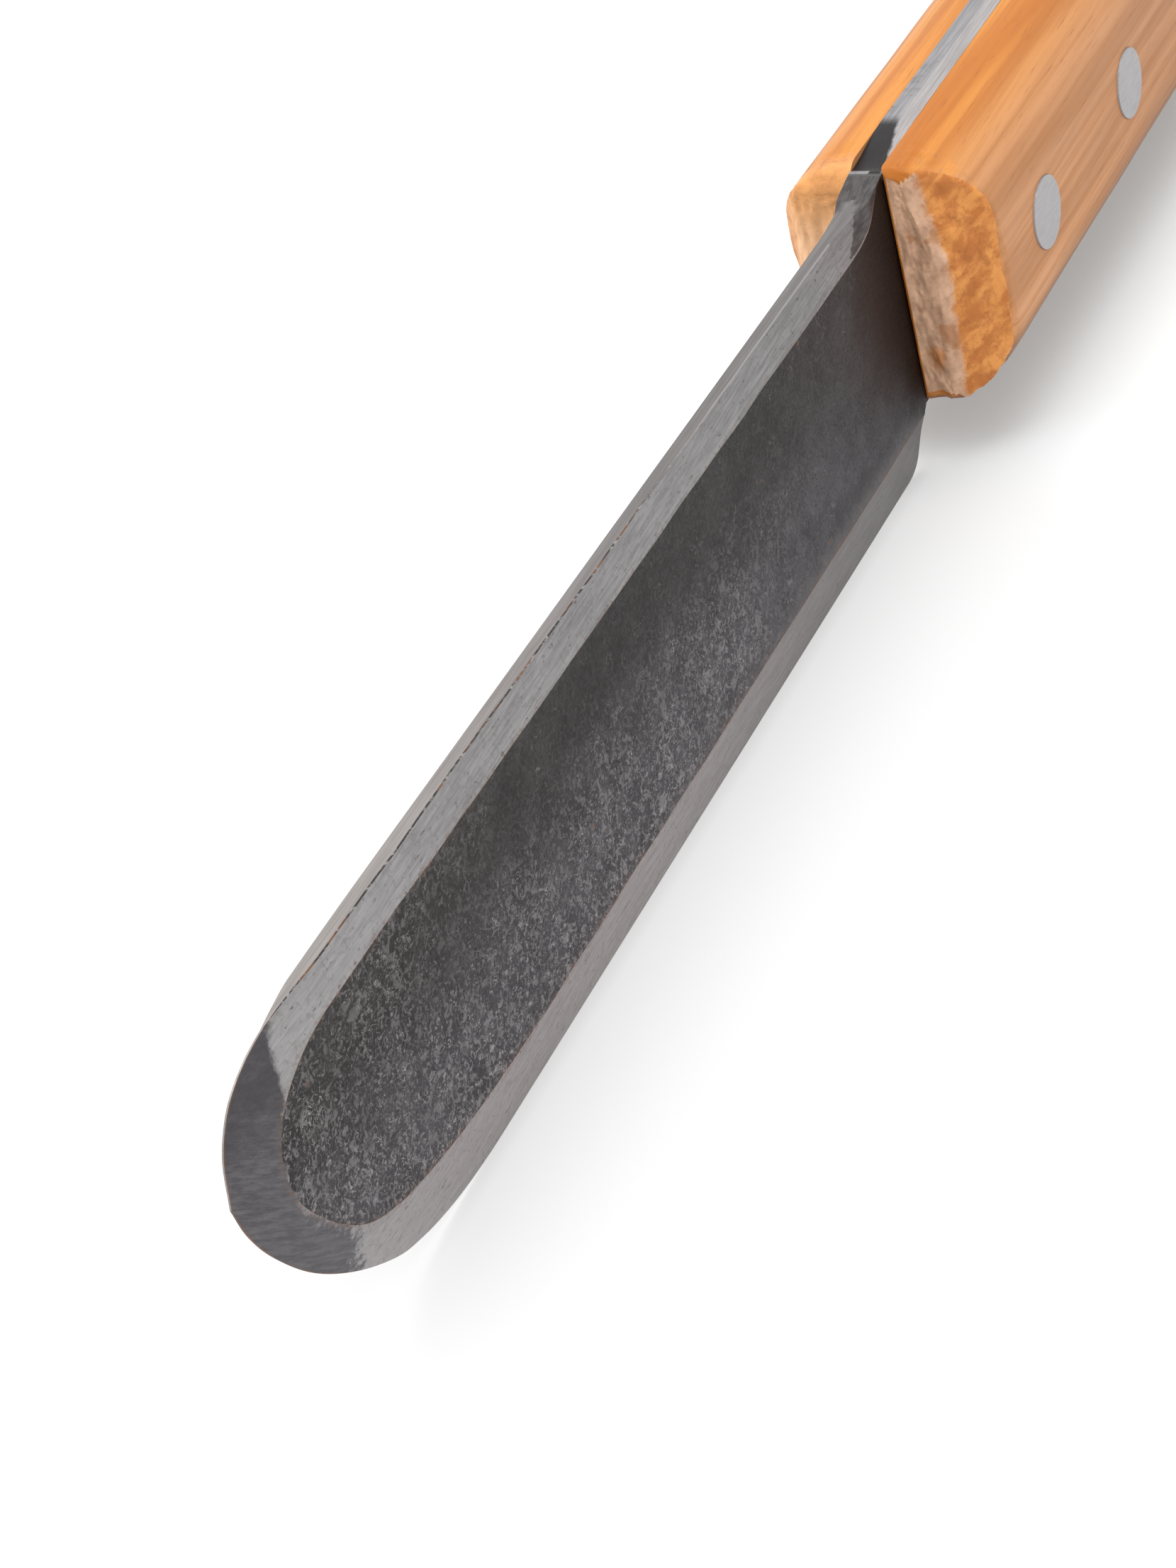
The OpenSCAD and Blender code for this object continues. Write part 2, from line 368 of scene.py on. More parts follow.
def tang_steel():
    """The tang's edge, sanded flush, with a patch of scale left where it dips to the spine."""
    s = Shader("tang_steel")
    lines = s.noise(s.stretch((0.16, 4, 4)), detail=5, roughness=0.65)
    place = s.split(s.place)
    far_side = s.span(place[1], -0.35 * MM, 0.35 * MM)
    near = s.mix(s.span(lines, 0.3, 0.7), (0.33, 0.31, 0.305), (0.47, 0.445, 0.44))
    far = s.mix(s.span(lines, 0.3, 0.7), (0.24, 0.235, 0.245), (0.36, 0.35, 0.36))
    base = s.mix(far_side, near, far)
    edge = s.noise(s.stretch(0.8), detail=4)
    ragged = s.span(edge, 0.3, 0.7, -0.14 * MM, 0.14 * MM, smooth=False)
    smudge = s.math("MULTIPLY", along(s, 0, 26, 6), s.span(edge, 0.45, 0.65, 0.0, 0.6))
    base = s.mix(s.math("MULTIPLY", smudge, far_side), base, (0.12, 0.115, 0.12))
    lean = 0.16               # how far the patch's long side leans across for each step back
    slant = s.math("ADD", place[1], 1.35 * MM + lean * FRONT_X)
    slant = s.math("SUBTRACT", slant, s.math("MULTIPLY", place[0], lean))
    beside = s.span(s.math("ADD", slant, ragged), -0.16 * MM, 0.16 * MM)
    ahead = s.math("ADD", place[0], ragged)
    ahead = s.span(ahead, FRONT_X + 7.0 * MM, FRONT_X + 8.6 * MM, 1.0, 0.0)
    behind_ridge = s.span(place[0], FRONT_X + 0.5 * MM, FRONT_X + 0.75 * MM)
    # Painted shade: on the near half the dark patch also runs over the ridge, which keeps the
    # ridge's highlight to its far half.
    near_half = s.span(place[1], -0.35 * MM, -0.05 * MM, 1.0, 0.0)
    behind_ridge = s.math("MAXIMUM", behind_ridge, near_half)
    patch = s.math("MULTIPLY", s.math("MULTIPLY", beside, ahead), behind_ridge)
    base = s.mix(patch, base, (0.03, 0.0275, 0.028))
    root = s.span(place[0], FRONT_X + 0.1 * MM, FRONT_X + 0.3 * MM, 1.0, 0.0)
    base = s.mix(root, base, (0.11, 0.103, 0.104))
    s.set(
        base_color=base, metallic=0.85, roughness=s.span(lines, 0.3, 0.7, 0.52, 0.38),
        normal=s.bump(lines, 0.015, 0.5),
    )
    return s.material


KNOT = (-3.0, 9.6)        # across and height of the brown knot in the near scale's front


def wood(name, end_grain, seed, painted_light_front=0.0):
    """Oiled wood with its grain along the handle, or torn end grain; the last argument is 0 or 1,
    and at 1 painted light brightens the front end.
    """
    s = Shader(name)
    shift = (seed * 3.7, seed * 1.9, seed * 5.3)
    grain = s.stretch((0.014, 0.42, 0.42), turn=(0, 0, math.radians(1.5)), offset=shift)
    rings = s.noise(s.bend(grain, 0.5, 0.6), detail=2, roughness=0.5)
    fibre = s.noise(s.stretch((0.05, 2.4, 2.4), offset=shift), detail=5, roughness=0.65)
    pore = s.noise(s.stretch((0.3, 5.0, 5.0), offset=shift), detail=2)
    facing = s.split(s.facing)
    # Painted sheen: faces turned sideways are painted paler and pinker than the top.
    side = s.span(s.math("ABSOLUTE", facing[1]), 0.3, 0.95)
    top_colour = s.mix(s.span(rings, 0.36, 0.64), (0.46, 0.14, 0.013), (0.64, 0.25, 0.042))
    side_sheen_colour = s.mix(s.span(rings, 0.36, 0.64), (0.41, 0.172, 0.058), (0.55, 0.255, 0.106))
    base = s.mix(side, top_colour, side_sheen_colour)
    base = s.mix(s.math("MULTIPLY", along(s, 0, 12, 60), 0.3), base, (0.26, 0.11, 0.045))
    # Painted shade: faces turned downwards are painted darker.
    base = s.mix(s.span(facing[2], -0.02, -0.6, 0.0, 0.8), base, (0.17, 0.08, 0.04))
    base = s.mix(s.span(fibre, 0.45, 0.72, 0.0, 0.35), base, (0.33, 0.12, 0.025))
    if end_grain:
        plain = base
        tilt = (math.radians(12), math.radians(38), 0)
        turned = s.stretch((0.45, 0.45, 0.8), turn=tilt, offset=shift)
        cell = s.noise(s.bend(turned, 0.9, 1.1), detail=5, roughness=0.6)
        base = s.mix(s.span(cell, 0.36, 0.62), (0.68, 0.275, 0.065), (0.46, 0.15, 0.03))
        turned = s.stretch((1.1, 1.1, 0.5), turn=(0, math.radians(25), 0), offset=shift)
        fray = s.noise(turned, detail=4, roughness=0.6)
        base = s.mix(s.span(fray, 0.52, 0.66, 0.0, 0.45), base, (0.33, 0.1, 0.022))
        ragged = s.span(cell, 0.3, 0.7, -0.15 * MM, 0.15 * MM, smooth=False)
        depth = s.math("ADD", s.split(s.place)[0], ragged)
        flat_end = FRONT_X + (0.75 + 1.6 * painted_light_front) * MM
        flat_front = s.span(depth, FRONT_X + (0.38 - 0.4 * painted_light_front) * MM, flat_end, 1.0, 0.0)
        spot = s.noise(s.stretch(0.3, offset=shift), detail=3)
        # Painted sheen: the flat front end is painted paler and pinker than the chamfer beside it,
        # as the sides are.
        pale = s.mix(s.span(cell, 0.3, 0.7), (0.66, 0.42, 0.285), (0.47, 0.285, 0.185))
        pale = s.mix(s.span(spot, 0.58, 0.64, 0.0, 0.7), pale, (0.4, 0.18, 0.075))
        # Painted light: on the far scale the front end is painted brighter and paler.
        if painted_light_front:
            painted_light_tint = s.mix(along(s, 2, 25, 19), (0.9, 0.42, 0.13), (0.97, 0.6, 0.36))
            pale = s.mix(0.8, pale, painted_light_tint)
            flat_front = s.math("MULTIPLY", flat_front, along(s, 2, 26.3, 21.5, 0.1, 1.0))
        else:
            _, across, height = s.split(s.place)
            across = s.math("SUBTRACT", across, KNOT[0] * MM)
            height = s.math("MULTIPLY", s.math("SUBTRACT", height, KNOT[1] * MM), 0.55)
            across = s.math("MULTIPLY", across, across)
            height = s.math("MULTIPLY", height, height)
            apart = s.math("SQRT", s.math("ADD", across, height))
            ragged = s.span(cell, 0.3, 0.7, -0.25 * MM, 0.25 * MM, smooth=False)
            apart = s.math("ADD", apart, ragged)
            pale = s.mix(s.span(apart, 0.35 * MM, 1.0 * MM, 0.85, 0.0), pale, (0.42, 0.17, 0.06))
        base = s.mix(s.math("MULTIPLY", flat_front, 0.9), base, pale)
        # More painted light over the whole front end, fading out behind it.
        if painted_light_front:
            base = s.mix(0.25, base, (0.92, 0.5, 0.22))
            base = s.mix(s.span(depth, FRONT_X + 1.4 * MM, FRONT_X + 3.2 * MM), base, plain)
    base = s.mix(s.span(pore, 0.6, 0.75, 0.0, 0.35), base, (0.18, 0.06, 0.015))
    s.surface.inputs["Specular IOR Level"].default_value = 0.3
    s.set(
        base_color=base, metallic=0.0, roughness=s.span(fibre, 0.3, 0.7, 0.45, 0.6),
        normal=s.bump(fibre, 0.06 if end_grain else 0.03, 0.5),
    )
    return s.material


def pin_metal():
    """Matte sanded aluminium."""
    s = Shader("pin_metal")
    lines = s.noise(s.stretch((0.5, 3, 5)), detail=4)
    s.set(
        base_color=s.mix(lines, (0.345, 0.33, 0.335), (0.41, 0.395, 0.4)), metallic=0.75,
        roughness=s.span(lines, 0.3, 0.7, 0.6, 0.48), normal=s.bump(lines, 0.01, 0.4),
    )
    return s.material


FORGED = forge_scale()
GROUND = ground_bevel()
FLAT = ground_spine()
LINE = scale_line()
TANG = tang_steel()
PIN = pin_metal()


# ---------------------------------------------------------------------------------------------
# Blade and tang
# ---------------------------------------------------------------------------------------------
def arc(centre, radius, start, stop, steps):
    """Points of an arc; angles in degrees."""
    angles = np.radians(np.linspace(start, stop, steps))
    x = centre[0] + radius * np.cos(angles)
    return np.column_stack((x, centre[1] + radius * np.sin(angles)))


def spline(points, steps=24):
    """A smooth curve through a few points (Catmull-Rom)."""
    p = np.array(points, float)
    p = np.vstack((2 * p[0] - p[1], p, 2 * p[-1] - p[-2]))
    out = []
    for a, b, c, d in zip(p, p[1:], p[2:], p[3:]):
        for t in np.linspace(0, 1, steps, endpoint=False):
            bend = (2 * a - 5 * b + 4 * c - d) * t**2 + (3 * b - a - 3 * c + d) * t**3
            out.append(0.5 * (2 * b + (c - a) * t + bend))
    return np.array(out + [p[-2]])


def resample(path, steps):
    """The path as steps + 1 points at equal distances."""
    length = np.concatenate(([0], np.cumsum(np.linalg.norm(np.diff(path, axis=0), axis=1))))
    at = np.linspace(0, length[-1], steps + 1)
    return np.column_stack([np.interp(at, length, path[:, k]) for k in (0, 1)])


def table(*pairs):
    """A smooth function of one number through chosen pairs, with no overshoot between them."""
    xs, ys = np.array(sorted(pairs), float).T
    slopes = np.diff(ys) / np.diff(xs)
    tangents = np.zeros(len(xs))
    same = slopes[:-1] * slopes[1:] > 0
    tangents[1:-1][same] = (2 * slopes[:-1] * slopes[1:])[same] / (slopes[:-1] + slopes[1:])[same]

    def value(x):
        x = min(max(x, xs[0]), xs[-1])
        i = min(int(np.searchsorted(xs, x, "right")) - 1, len(xs) - 2)
        gap = xs[i + 1] - xs[i]
        t = (x - xs[i]) / gap
        rise = t * t * (3 - 2 * t)
        bend = gap * (tangents[i] * t * (1 - t) ** 2 - tangents[i + 1] * t * t * (1 - t))
        return float(ys[i] + (ys[i + 1] - ys[i]) * rise + bend)

    return value


NOSE_X = -94.0            # in front of this the blade's rows fan round the nose
NOSE_STEPS = 48           # sections in that fan

# Outer edge of the steel, and edge of the flat side inside the bevels, each above and below the
# foremost point
OUTLINE_ABOVE = [
    (-88, SPINE), (-91, SPINE), (NOSE_X, SPINE), (-97.4, 25.2), (-100.5, 24.75), (-103.1, 23.6),
    (-105.0, 21.4), (-BLADE_L, 18.2),
]
OUTLINE_BELOW = [
    (-78, 0), (-80, 0), (-82, 0.03), (-85, 0.2), (-88, 0.6), (-91, 1.3), (NOSE_X, 2.45),
    (-98, 5.2), (-101.6, 8.7), (-104.2, 12.6), (-105.5, 15.6), (-BLADE_L, 18.2),
]
FACE_ABOVE = [
    (-88, 23.12), (-91, 23.12), (NOSE_X, 23.08), (-96.5, 22.75), (-98.7, 22.0), (-100.6, 20.8),
    (-101.8, 19.1), (-102.2, 17.1),
]
FACE_BELOW = [
    (-74, 5), (-78, 5.05), (-82, 5.2), (-86, 5.6), (-90, 6.25), (NOSE_X, 7.15), (-96.9, 8.5),
    (-99.2, 10.7), (-100.9, 13.1), (-101.9, 15.2), (-102.2, 17.1),
]


def around_nose(points):
    """The part of a curve in front of NOSE_X."""
    curve = spline(points)
    return resample(curve[curve[:, 0] <= NOSE_X + 1e-9], NOSE_STEPS)


def height_of(points):
    """Height of a curve as a function of x, behind the nose."""
    curve = spline(points)
    return lambda x: float(np.interp(-x, -curve[:, 0], curve[:, 1]))


sweep_height = height_of(OUTLINE_BELOW)
edge_bevel_foot = height_of(FACE_BELOW)
spine_bevel_drop = table(
    (-8, 2.18), (-6.1, 2.1), (-4.6, 1.85), (-3.3, 1.45), (-1.9, 0.6), (-1.0, 0.08), (0, 0.05),
)
# Half width of the flat on top of the spine, on the camera's side and on the other
near_flat = table(
    (-99, 0.02), (-96, 0.25), (-92, 0.5), (-84, 0.56), (-60, 0.48), (-9, 0.5), (-5, 0.75),
    (-2.4, 1.37), (0, 1.37),
)
far_flat = table(
    (-99, 0.02), (-97, 0.2), (-94, 0.5), (-84, 0.6), (-9, 0.6), (-5, 0.85), (-2.4, 1.37),
    (0, 1.37),
)
# The heel from the handle's bottom down to the cutting edge
HEEL = [
    (0, 5.6), (-0.55, 5.1), (-1.0, 4.5), (-1.25, 3.85), (-1.33, 3.0), (-1.37, 2.0), (-1.46, 1.2),
    (-1.8, 0.55), (-2.4, 0.15), (-3.2, 0.0),
]
HEEL_END = HEEL[-1][0]
heel_curve = spline(HEEL, 8)
RIDGE = 0.94              # rise from the spine to the small ridge at the handle


def heel_height(x):
    """Lowest point of the steel in front of the handle."""
    if x > HEEL_END:
        return float(np.interp(-x, -heel_curve[:, 0], heel_curve[:, 1]))
    return sweep_height(x)


def steel_top(x):
    """Height of the steel's upper edge: the spine, its rise to a small ridge, and the tang."""
    rise = RIDGE * (0.4 * ease(x, -4.3, 0.5) + 0.6 * min(1, max(0, (x + 4.1) / 4.5)))
    dip = 0.1 * ease(x, 0.45, 1.2) * (1 - ease(x, 1.2, 5))
    rise += (SPINE_STEP - RIDGE) * ease(x, 0.8, 8.0) - dip
    return SPINE + rise


BUTT_R = 7.0              # rounding of the butt seen from the side


def butt_drop(x):
    """How far the rounded butt cuts in from top and bottom at x."""
    over = max(0.0, x - (HANDLE_L - BUTT_R))
    return BUTT_R - math.sqrt(max(0.0, BUTT_R**2 - over**2))


# Rows of points across one side, from the cutting edge to the top. Both bevels need the same
# number, so that the nose closes.
EDGE_ROWS, FACE_ROWS, SPINE_ROWS = 10, 44, 10
ROW_LOW_IN = 1 + EDGE_ROWS
ROW_HIGH_IN = ROW_LOW_IN + FACE_ROWS
ROW_HIGH_OUT = ROW_HIGH_IN + SPINE_ROWS
HALF_COUNT = ROW_HIGH_OUT + 4
ROW_CROWDING = 1.25       # above 1, a bevel's rows stand closer at its outer edge
LINE_WIDTH = 0.17         # width of the dark line beside the spine's flat
BLADE_STEP = 0.5
TANG_START = -0.05        # sections behind this belong to the tang
INSET = 0.03              # the steel's outermost rows lie this far inside its full thickness
LEAST_RISE = 0.05         # least height of a bevel

# The blade's material slots
ON_FORGED, ON_GROUND, ON_LINE, ON_FLAT, ON_TANG = range(5)


def side_rows(low_out, low_in, high_in, high_out, edge_half, top_half):
    """One side's points from the bottom's middle to the top's middle, as (x, z, depth)."""
    rows = [(*low_out, 0.0), (*low_out, edge_half)]
    for i in range(1, EDGE_ROWS + 1):
        t = (i / EDGE_ROWS) ** ROW_CROWDING
        rows.append((*(low_out + (low_in - low_out) * t), edge_half + (HALF_T - edge_half) * t))
    for i in range(1, FACE_ROWS):
        rows.append((*(low_in + (high_in - low_in) * i / FACE_ROWS), HALF_T))
    for i in range(SPINE_ROWS + 1):
        t = 1 - (1 - i / SPINE_ROWS) ** ROW_CROWDING
        rows.append((*(high_in + (high_out - high_in) * t), HALF_T + (top_half - HALF_T) * t))
    closed = top_half <= EDGE_HALF
    line_end = max(top_half - LINE_WIDTH, top_half * 0.6)
    inner = (top_half, top_half) if closed else (line_end, top_half * 0.3)
    for depth in (*inner, 0.0):
        rows.append((*high_out, depth))
    return rows


def blade_stations():
    """Cross-sections from the butt to the nose: four points in X and Z, and half thicknesses."""
    stations = []
    tang_x = [HANDLE_L - BUTT_R + BUTT_R * math.sin(a) for a in np.radians(np.linspace(90, 0, 14))]
    for start, stop, step in ((100, 9, -3.0), (8, 1.4, -0.4), (1.2, -0.05, -0.1)):
        tang_x += list(np.arange(start, stop, step))
    blade_x = list(heel_curve[1:, 0])
    for start, stop, step in ((-3.4, -10, -0.2), (-10, NOSE_X, -BLADE_STEP)):
        blade_x += list(np.arange(start, stop, step))
    for x in tang_x + blade_x:
        high = steel_top(x) - butt_drop(x)
        if x > TANG_START:
            low = HANDLE_BOTTOM + butt_drop(x)
            ends = (low, low + LEAST_RISE, high - LEAST_RISE, high)
            halves = (HALF_T - INSET,) * 3
        else:
            low, foot = max(0.0, heel_height(x)), edge_bevel_foot(x) + 0.1 * wobble(x, 6, 1)
            thin = EDGE_HALF + (HALF_T - EDGE_HALF) * min(1.0, (low - sweep_height(x)) / foot)
            drop = spine_bevel_drop(x) + 0.07 * wobble(x, 5, 2) * ease(-x, 6, 10)
            drop = max(LEAST_RISE, drop)
            ends = (low, max(low + LEAST_RISE, foot), high - drop, high)
            sway = 0.05 * wobble(x, 4, 3) * ease(-x, 9, 20)
            halves = (min(thin, HALF_T - INSET), near_flat(x) + sway, far_flat(x))
        stations.append(([np.array((x, z)) for z in ends], *halves))
    paths = (OUTLINE_BELOW, FACE_BELOW, FACE_ABOVE, OUTLINE_ABOVE)
    for corners in zip(*(around_nose(path) for path in paths)):
        above = corners[3]
        tops = [max(EDGE_HALF, flat(above[0])) for flat in (near_flat, far_flat)]
        stations.append((corners, EDGE_HALF, *tops))
    return stations


# How far back the painted dark reflection on the nose reaches at each height
nose_reflection_limit = table(
    (4, -97.6), (7.5, -97.8), (10.6, -99.2), (13, -100.7), (15, -101.6), (17, -101.8),
    (18.6, -101.1), (20.6, -100.5), (22, -99.4), (24, -98.7), (24.9, -97.5), (26, -97.0),
)


MARKS = ("rim", "polish", "raw", "nose", "fringe")


def blade_marks(row, x, z, y, station):
    """Values of MARKS at a point: rusty rim, bare metal, raw top, painted dark reflection on the
    nose, rusty outer edge.
    """
    low_in, high_in = station[0][1], station[0][2]
    rim = polish = raw = 0.0
    if ROW_LOW_IN <= row <= ROW_HIGH_IN and x < -4:
        gap = min(np.hypot(*(np.array((x, z)) - low_in)), np.hypot(*(np.array((x, z)) - high_in)))
        rim = max(0.0, 1 - gap / 0.22)
        polish = max(0.0, 1 - (z - low_in[1]) / 1.6) * ease(x, -70, -6)
    elif ROW_LOW_IN <= row <= ROW_HIGH_IN:
        polish = max(0.0, 1 - (z - 5.0) / 1.6) * ease(-x, 0.3, 2.5)
    if row > ROW_HIGH_IN:
        raw = ease(abs(y - 0.1) - 1.55 * math.sqrt(max(0.0, (-x - 2.7) / 6.5)), -0.15, 0.15)
    nose = 0.5 + (nose_reflection_limit(z) - x) / 8 if x < -93 else 0.0
    fringe = ease(-x, 96, 99) if row < 2 or row >= ROW_HIGH_OUT else 0.0
    return rim, polish, raw, min(1.0, max(0.0, nose)), fringe


def build_blade():
    """The steel as a closed tube of sections, hollow and wavy on its sides, with pin holes."""
    points, marks = [], []
    stations = blade_stations()
    for station in stations:
        corners, edge_half, near_half, far_half = station
        for side, top_half in ((-1, near_half), (1, far_half)):
            rows = side_rows(*corners, edge_half, top_half)
            chosen = range(HALF_COUNT) if side < 0 else range(HALF_COUNT - 2, 0, -1)
            for k in chosen:
                x, z, depth = rows[k]
                if ROW_LOW_IN < k < ROW_HIGH_IN and x < 0:
                    t = (k - ROW_LOW_IN) / FACE_ROWS
                    lean = 4 * t * (1 - t)
                    close = min(1.0, np.hypot(*(corners[2] - corners[1])) / 14)
                    wave = noise.noise(Vector((x / 5.0, z / 4.0, side * 3.0)))
                    wave += 0.5 * noise.noise(Vector((x / 1.8, z / 1.6, side * 5.0)))
                    hollow = DISH * lean * close + FORGE_WAVE * (wave + 0.5) * min(1, lean * 3)
                    depth -= ease(-x, 0, 8) * hollow
                points.append((x, side * depth, z))
                marks.append(blade_marks(k, x, z, side * depth, station))
    ring = 2 * HALF_COUNT - 2
    faces, materials = [], []
    for j in range(len(stations) - 1):
        for k in range(ring):
            a, b = j * ring + k, j * ring + (k + 1) % ring
            faces.append((a, a + ring, b + ring, b))
            near = k < HALF_COUNT - 1
            row = k if near else ring - 1 - k
            materials.append(blade_material(row, near, stations[j][0][0][0]))
    faces.append(tuple(range(ring)))
    materials.append(ON_TANG)
    by_name = {name: [mark[i] for mark in marks] for i, name in enumerate(MARKS)}
    steels = (FORGED, GROUND, LINE, FLAT, TANG)
    piece = new_object("steel_blade", points, faces, steels, materials, by_name)
    drill(piece)
    piece.data.set_sharp_from_angle(angle=math.radians(9))
    return piece


def blade_material(row, near, x):
    """Slot of the faces that start at a row of one side."""
    if x > TANG_START:
        return ON_TANG if row < 2 or row >= ROW_HIGH_IN - 1 else ON_FORGED
    if row < ROW_LOW_IN:
        return ON_GROUND
    if row < ROW_HIGH_IN:
        return ON_FORGED
    if row < ROW_HIGH_OUT:
        return ON_GROUND
    return ON_LINE if row == ROW_HIGH_OUT and near and x < -9 else ON_FLAT


# ---------------------------------------------------------------------------------------------
# Pins and wooden scales
# ---------------------------------------------------------------------------------------------
PIN_R = 3.0
PIN_SEGMENTS = 72
PIN_NODES = ("front_pin", "middle_pin", "rear_pin")


def pin_centre(node):
    """Centre of a pin's CAD node, in millimetres from the handle's front."""
    low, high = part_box(node)
    return ((low + high) / 2 - Vector((FRONT_X, 0, 0))) / MM


def rod(name, node, profile):
    """A closed round rod along Y on a pin's axis, turned from (radius, y) pairs."""
    centre = pin_centre(node)
    turns = [2 * math.pi * i / PIN_SEGMENTS for i in range(PIN_SEGMENTS)]
    circle = [(math.cos(a), math.sin(a)) for a in turns]
    points = [(centre.x + r * c, y, centre.z + r * s) for r, y in profile for c, s in circle]
    faces = []
    for j in range(len(profile) - 1):
        for i in range(PIN_SEGMENTS):
            a, b = j * PIN_SEGMENTS + i, j * PIN_SEGMENTS + (i + 1) % PIN_SEGMENTS
            faces.append((a, b, b + PIN_SEGMENTS, a + PIN_SEGMENTS))
    if profile[0][0] > 0:
        faces += [tuple(range(PIN_SEGMENTS)), tuple(range(len(points) - PIN_SEGMENTS, len(points)))]
    return new_object(name, points, faces, (PIN,))


def build_pin(name, node):
    """A rod with slightly domed ends, sanded nearly flush with the wood."""
    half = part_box(node)[1].y / MM
    dome = [(math.sin(a), 1 - math.cos(a)) for a in np.linspace(0, math.pi / 2, 9)]
    profile = [((PIN_R - 0.05) * out, half - 0.02 * drop) for out, drop in dome]
    profile += [(PIN_R - 0.03, half - 0.03), (PIN_R - 0.02, half - 0.06)]
    profile += [(r, -y) for r, y in reversed(profile)]
    piece = rod(name, node, profile)
    piece.data.set_sharp_from_angle(angle=math.radians(40))
    return piece


def drill(piece):
    """Cuts the three pins' holes right through a piece."""
    for node in PIN_NODES:
        cutter = rod("cutter", node, [(PIN_R, -HALF_W - 1), (PIN_R, HALF_W + 1)])
        cut = piece.modifiers.new("hole", "BOOLEAN")
        cut.operation, cut.object, cut.solver = "DIFFERENCE", cutter, "EXACT"
        bpy.context.view_layer.update()
        solved = bpy.context.evaluated_depsgraph_get()
        drilled = bpy.data.meshes.new_from_object(piece.evaluated_get(solved))
        piece.modifiers.clear()
        piece.data = drilled
        bpy.data.objects.remove(cutter)


TOP_R, BOTTOM_R = 7.5, 6.0  # rounding along the handle's upper and lower edges
FRONT_CHAMFER = 3.6
BUTT_SIDE_R = 5.0         # rounding of the butt seen from above
ARRIS = 0.4               # small rounding along the scales' cut edges
PIN_PROUD = 0.03          # the wood lies this far under the pins' ends
GRAIN, END_GRAIN = 0, 1   # a scale's material slots
CAP_ROWS = 22             # rows of points across a scale's end


def soft_min(a, b, blend):
    """The smaller number, rounded off where the two are close."""
    near = max(blend - abs(a - b), 0) / blend
    return min(a, b) - near * near * blend / 4


def scale_section():
    """Outer line of a scale over the tang's top to its bottom, as (distance out, height)."""
    half = HALF_W - PIN_PROUD
    top_centre = (half - TOP_R, HANDLE_TOP - TOP_R)
    low_centre = (half - BOTTOM_R, HANDLE_BOTTOM + BOTTOM_R)
    flat_side = [(half, z) for z in np.linspace(top_centre[1], low_centre[1], 20)[1:-1]]
    belly = [(y, HANDLE_BOTTOM) for y in np.linspace(low_centre[0], HALF_T, 6)[1:]]
    top = [(HALF_T, HANDLE_TOP)]
    upper = arc(top_centre, TOP_R, 90, 0, 34)
    lower = arc(low_centre, BOTTOM_R, 0, -90, 28)
    return np.vstack((top, upper, flat_side, lower, belly))


def front_round(radius, x):
    """Depth of a rounded front edge of the given radius at a distance x behind the front."""
    short = max(0.0, radius - x)
    return radius - math.sqrt(max(0.0, radius**2 - short**2))


def scale_limits(x, out, z, side):
    """Greatest distance out, and highest and lowest height, of a scale near one point."""
    half = HALF_W - PIN_PROUD
    if side < 0:
        chamfer = FRONT_CHAMFER + 0.65 + 1.4 * ease(z, 18.5, 25) + 0.4 * ease(z, 16, 9)
        top_radius, blend = 0.75 + 1.35 * ease(out, HALF_T, 4.2), 0.7
    else:
        chamfer, top_radius, blend = 2.3, 2.2, 1.2
    slope = max(1.0, chamfer / FRONT_CHAMFER)
    reach = soft_min(half, half - chamfer + x * slope - front_round(ARRIS, x), blend)
    over = max(0.0, x - (HANDLE_L - BUTT_SIDE_R))
    reach = min(reach, half - BUTT_SIDE_R + math.sqrt(max(0.0, BUTT_SIDE_R**2 - over**2)))
    top = HANDLE_TOP - front_round(top_radius, x) - butt_drop(x)
    bottom = HANDLE_BOTTOM + front_round(1.0, x) + butt_drop(x)
    return reach, top, bottom


def hand_wear(x, out, z, seed):
    """How much wood hand work took off at a point: torn in front, softly wavy behind."""
    torn = abs(noise.noise(Vector((x * 0.5, out * 0.55 + seed * 9, z * 0.33))))
    torn += 0.5 * abs(noise.noise(Vector((x * 1.1 + 4, out * 1.4, z * 0.9 + seed))))
    torn += 0.25 * noise.noise(Vector((x * 3, out * 3.4, z * 2.6 + seed)))
    front = 1 - ease(x, 2.6, 5.0)
    rubbed = noise.noise(Vector((x / 9.0, out / 6.0, z / 6.0 + seed)))
    return front * max(0.0, 0.42 * torn - 0.02) + (1 - front) * 0.05 * (rubbed + 0.6)


